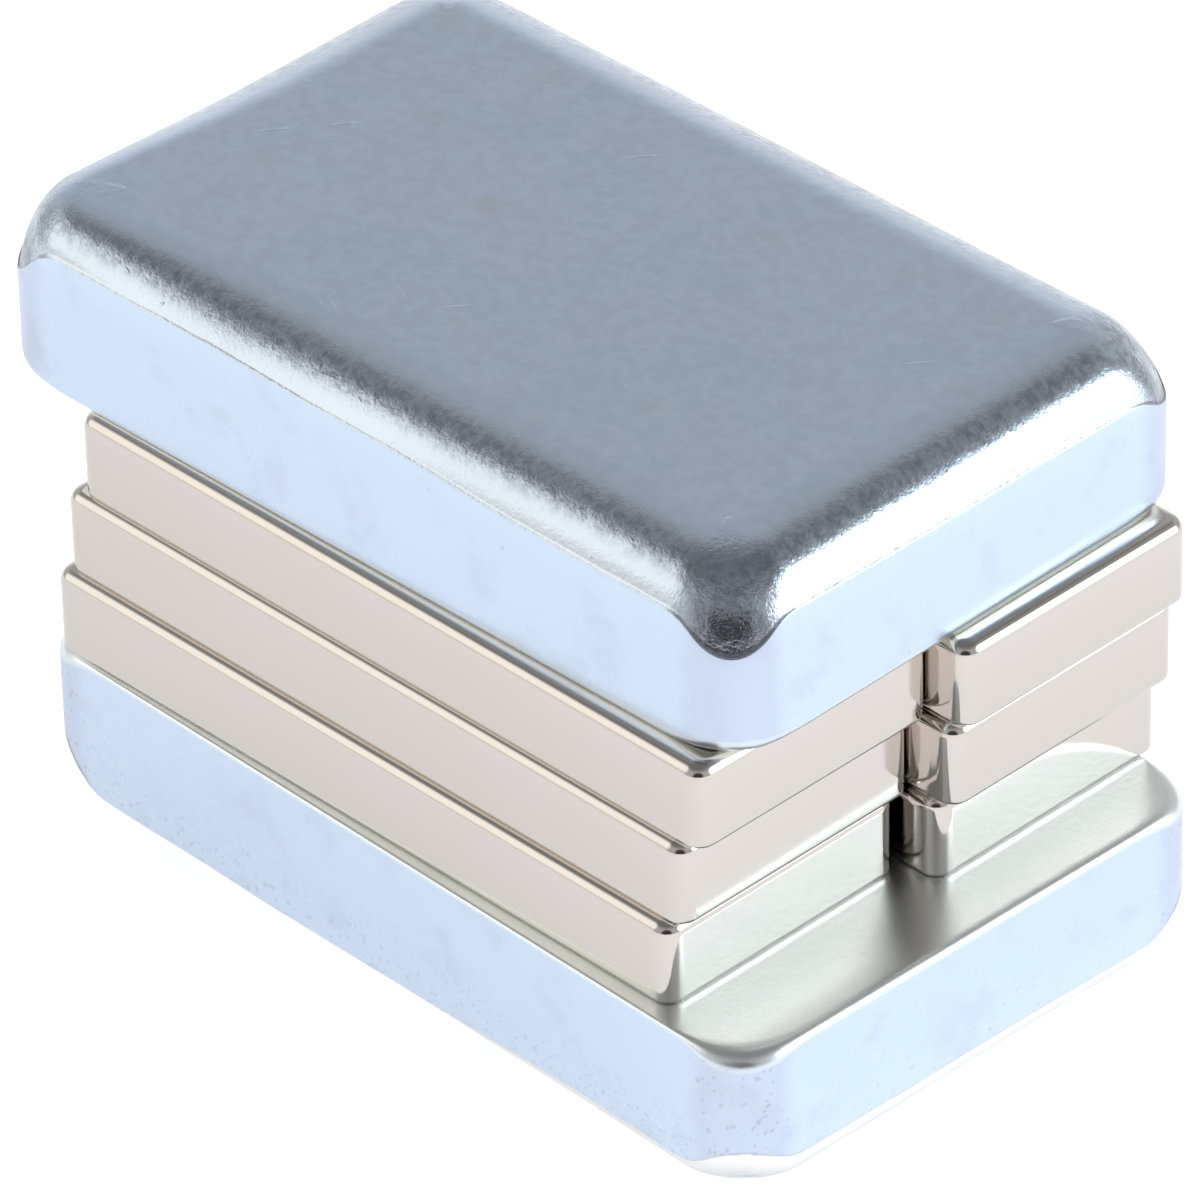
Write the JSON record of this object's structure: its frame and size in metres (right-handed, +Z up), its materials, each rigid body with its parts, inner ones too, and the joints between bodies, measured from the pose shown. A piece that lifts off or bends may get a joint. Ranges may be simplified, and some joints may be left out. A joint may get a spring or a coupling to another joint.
{
  "type": "block magnet",
  "caption": "Rectangular nickel plated block magnets stacked in side by side columns, held by their own pull between rounded zinc plated steel keeper plates.",
  "frame": {"origin": "centre of the lower keeper plate's bottom face", "axes": "+X along the lower plate's long side, +Y across it towards the rear column of magnets, +Z up through the stack"},
  "size_m": [0.0346, 0.0218, 0.0216],
  "materials": {
    "zinc_plated_steel": "bright bluish zinc plating, finely grained",
    "nickel_plating": "bright nickel plating, smooth and slightly warm"
  },
  "bodies": {
    "root": {"upper_keeper_plate": "zinc_plated_steel", "lower_keeper_plate": "zinc_plated_steel", "front_magnet_top": "nickel_plating", "front_magnet_middle": "nickel_plating", "front_magnet_bottom": "nickel_plating", "rear_magnet_top": "nickel_plating", "rear_magnet_middle": "nickel_plating", "rear_magnet_bottom": "nickel_plating"}
  },
  "joints": []
}
